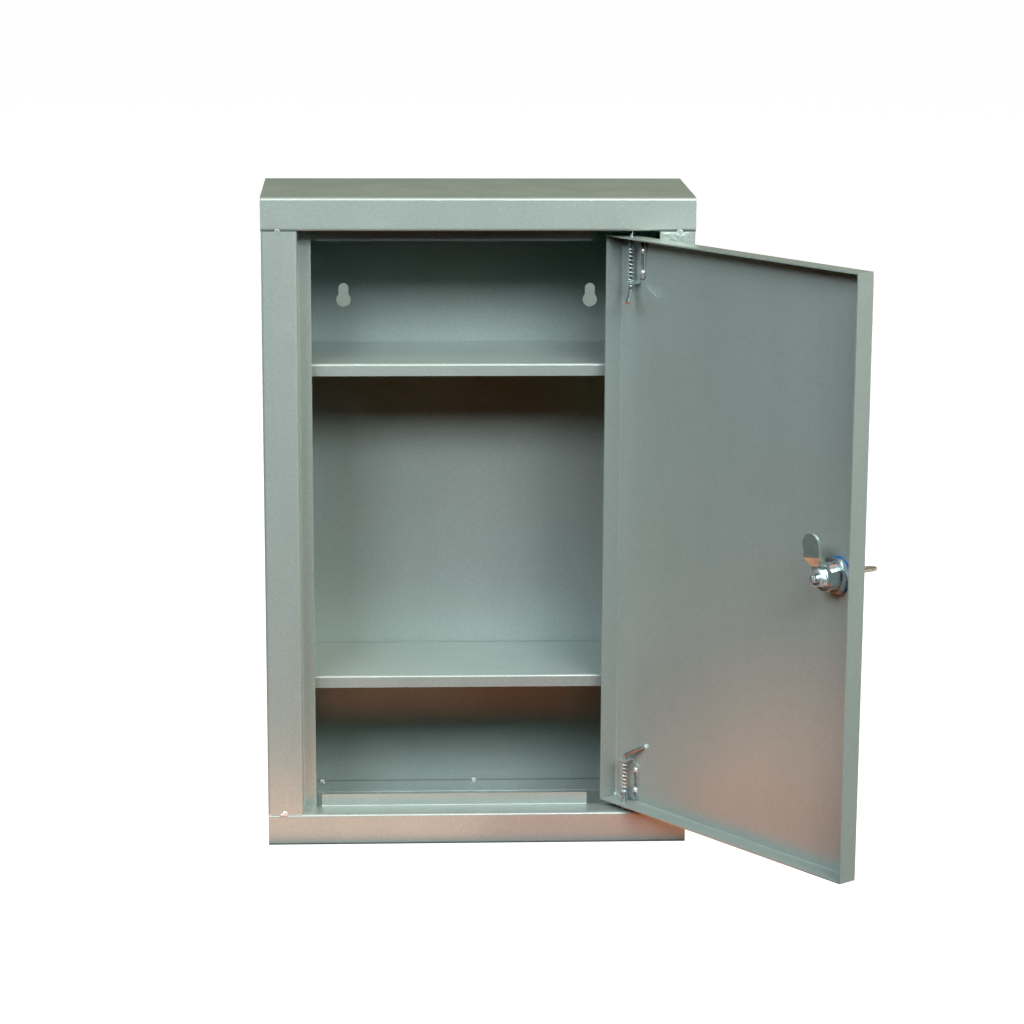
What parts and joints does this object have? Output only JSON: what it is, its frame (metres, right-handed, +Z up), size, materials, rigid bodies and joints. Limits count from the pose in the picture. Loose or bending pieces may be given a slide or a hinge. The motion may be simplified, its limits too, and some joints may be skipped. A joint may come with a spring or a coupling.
{
  "type": "lockable medicine cabinet",
  "caption": "Wall-hung sheet steel medicine cabinet with a folded front frame, fixed shelves, a tray door on spring-loaded pin hinges and a quarter-turn cam lock with its key.",
  "frame": {"origin": "middle of the rectangular base, on the surface the cabinet stands on", "axes": "+Z up the cabinet's height; +Y from the open front to the wall face; +X towards the hinge side"},
  "size_m": [0.4111, 0.3028, 0.465],
  "materials": {
    "painted_steel": "satin",
    "zinc_steel": "satin",
    "nickel_plate": "satin",
    "blue_gasket": "matte",
    "wafer_brass": "satin"
  },
  "bodies": {
    "cabinet": {"back_panel": "painted_steel", "left_side_panel": "painted_steel", "right_side_panel": "painted_steel", "top_panel": "painted_steel", "bottom_panel": "painted_steel", "upper_shelf": "painted_steel", "lower_shelf": "painted_steel"},
    "door": {"door_panel": "painted_steel", "upper_hinge_bracket": "zinc_steel", "lower_hinge_bracket": "zinc_steel", "bracket_studs": "zinc_steel", "upper_hinge_spring": "zinc_steel", "lower_hinge_spring": "zinc_steel", "lock_body": "nickel_plate", "lock_gasket": "blue_gasket", "lock_nut": "nickel_plate"},
    "upper_pin": {"upper_hinge_pin": "zinc_steel"},
    "lower_pin": {"lower_hinge_pin": "zinc_steel"},
    "lock_core": {"lock_plug": "nickel_plate", "stop_washer": "zinc_steel", "lock_cam": "zinc_steel", "cam_lock_washer": "zinc_steel", "cam_nut": "zinc_steel", "wafer_tumblers": "wafer_brass", "wafer_springs": "zinc_steel"},
    "key_body": {"key": "nickel_plate"}
  },
  "joints": [
    {"name": "door_hinge", "type": "hinge", "parent": "cabinet", "child": "door", "pos_m": [0.106, -0.05475, 0.2325], "axis": [0, 0, 1], "range_deg": [-127, 5]},
    {"name": "upper_pin_slide", "type": "slide", "parent": "door", "child": "upper_pin", "axis": [0, 0, -1], "range_m": [0, 0.0088], "stiffness_N_per_m": 300, "springref_m": -0.004, "deforming": ["upper_hinge_spring"]},
    {"name": "lower_pin_slide", "type": "slide", "parent": "door", "child": "lower_pin", "axis": [0, 0, 1], "range_m": [0, 0.0088], "stiffness_N_per_m": 300, "springref_m": -0.004, "deforming": ["lower_hinge_spring"]},
    {"name": "lock_turn", "type": "hinge", "parent": "door", "child": "lock_core", "pos_m": [0.23394, -0.21165, 0.2338], "axis": [0.7986, 0.6018, 0], "range_deg": [0, 98]},
    {"name": "key_pull", "type": "slide", "parent": "lock_core", "child": "key_body", "axis": [0.7986, 0.6018, 0], "range_m": [0, 0.025]}
  ]
}
